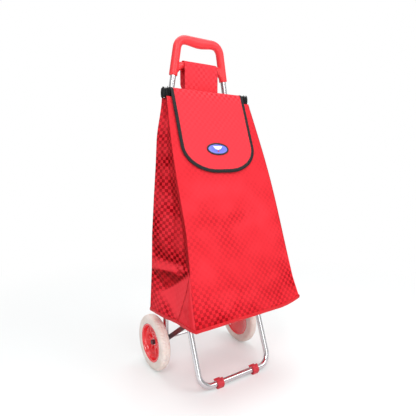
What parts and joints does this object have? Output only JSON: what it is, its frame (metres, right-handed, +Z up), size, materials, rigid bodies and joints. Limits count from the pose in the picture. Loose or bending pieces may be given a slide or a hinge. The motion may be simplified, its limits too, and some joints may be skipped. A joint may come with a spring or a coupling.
{
  "type": "shopping trolley",
  "caption": "Two-wheeled shopping trolley: a steel frame with a moulded handle, a tapered fabric bag with a bound flap, and a braced front stand",
  "frame": {"origin": "on the floor, under the middle of the trolley's box", "axes": "+Z up, the bag's front faces -Y, the axle lies along X"},
  "size_m": [0.3514, 0.3326, 0.959],
  "materials": {
    "red_fabric": "woven check, slight sheen",
    "black_tape": "matt woven tape",
    "red_handle_plastic": "moulded, satin",
    "red_clip_plastic": "moulded, satin",
    "red_hub_plastic": "moulded, semi-gloss",
    "tyre_foam": "moulded foam, matt",
    "chromed_tube": "bright plated",
    "plated_steel": "zinc plated",
    "white_bush_plastic": "moulded",
    "dark_cap_steel": "darkened",
    "board": "hardboard",
    "badge_black": "gloss",
    "badge_blue": "gloss"
  },
  "bodies": {
    "root": {"axle": "plated_steel", "handle": "red_handle_plastic", "stand_tube": "chromed_tube", "lower_cross_bar": "plated_steel", "upper_cross_bar": "plated_steel", "bag_front": "red_fabric", "bag_back": "red_fabric", "bag_left_side": "red_fabric", "bag_right_side": "red_fabric", "bag_base": "red_fabric", "base_board": "board", "mouth_rim": "black_tape", "hanging_loop": "red_fabric", "bag_hook_pad": "black_tape", "left_frame_tube": "chromed_tube", "left_lower_rivet": "plated_steel", "left_upper_rivet": "plated_steel", "left_handle_screw": "plated_steel", "left_stand_bracket": "plated_steel", "left_brace": "plated_steel", "left_frame_pin": "plated_steel", "left_arm_pin": "plated_steel", "left_knee_pin": "plated_steel", "left_foot_clip": "red_clip_plastic", "left_spacer": "plated_steel", "left_inner_washer": "plated_steel", "left_outer_washer": "plated_steel", "left_axle_cap": "dark_cap_steel", "right_frame_tube": "chromed_tube", "right_lower_rivet": "plated_steel", "right_upper_rivet": "plated_steel", "right_handle_screw": "plated_steel", "right_stand_bracket": "plated_steel", "right_brace": "plated_steel", "right_frame_pin": "plated_steel", "right_arm_pin": "plated_steel", "right_knee_pin": "plated_steel", "right_foot_clip": "red_clip_plastic", "right_spacer": "plated_steel", "right_inner_washer": "plated_steel", "right_outer_washer": "plated_steel", "right_axle_cap": "dark_cap_steel"},
    "left_wheel": {"left_tyre": "tyre_foam", "left_hub": "red_hub_plastic", "left_hub_bush": "white_bush_plastic"},
    "right_wheel": {"right_tyre": "tyre_foam", "right_hub": "red_hub_plastic", "right_hub_bush": "white_bush_plastic"},
    "flap_top": {"flap_top": "red_fabric", "left_flap_tape": "black_tape", "right_flap_tape": "black_tape"},
    "flap_front": {"flap_front": "red_fabric", "flap_binding": "black_tape", "badge_rim": "badge_black", "badge_face": "badge_blue", "flap_loop_pad": "black_tape"}
  },
  "joints": [
    {"name": "left_wheel_spin", "type": "hinge", "parent": "root", "child": "left_wheel", "pos_m": [-0.1595, 0.0857, 0.0806], "axis": [1, 0, 0], "continuous": true},
    {"name": "right_wheel_spin", "type": "hinge", "parent": "root", "child": "right_wheel", "pos_m": [0.1595, 0.0857, 0.0806], "axis": [1, 0, 0], "continuous": true},
    {"name": "flap_lift", "type": "hinge", "parent": "root", "child": "flap_top", "pos_m": [0, 0.06537, 0.8023], "axis": [-1, 0, 0], "range_deg": [0, 80]},
    {"name": "flap_unroll", "type": "hinge", "parent": "flap_top", "child": "flap_front", "pos_m": [0, 0.03347, 0.8023], "axis": [-1, 0, 0], "range_deg": [0, 60]}
  ],
  "couplings": [
    {"joint": "flap_unroll", "follows": "flap_lift", "ratio": 0.75}
  ]
}
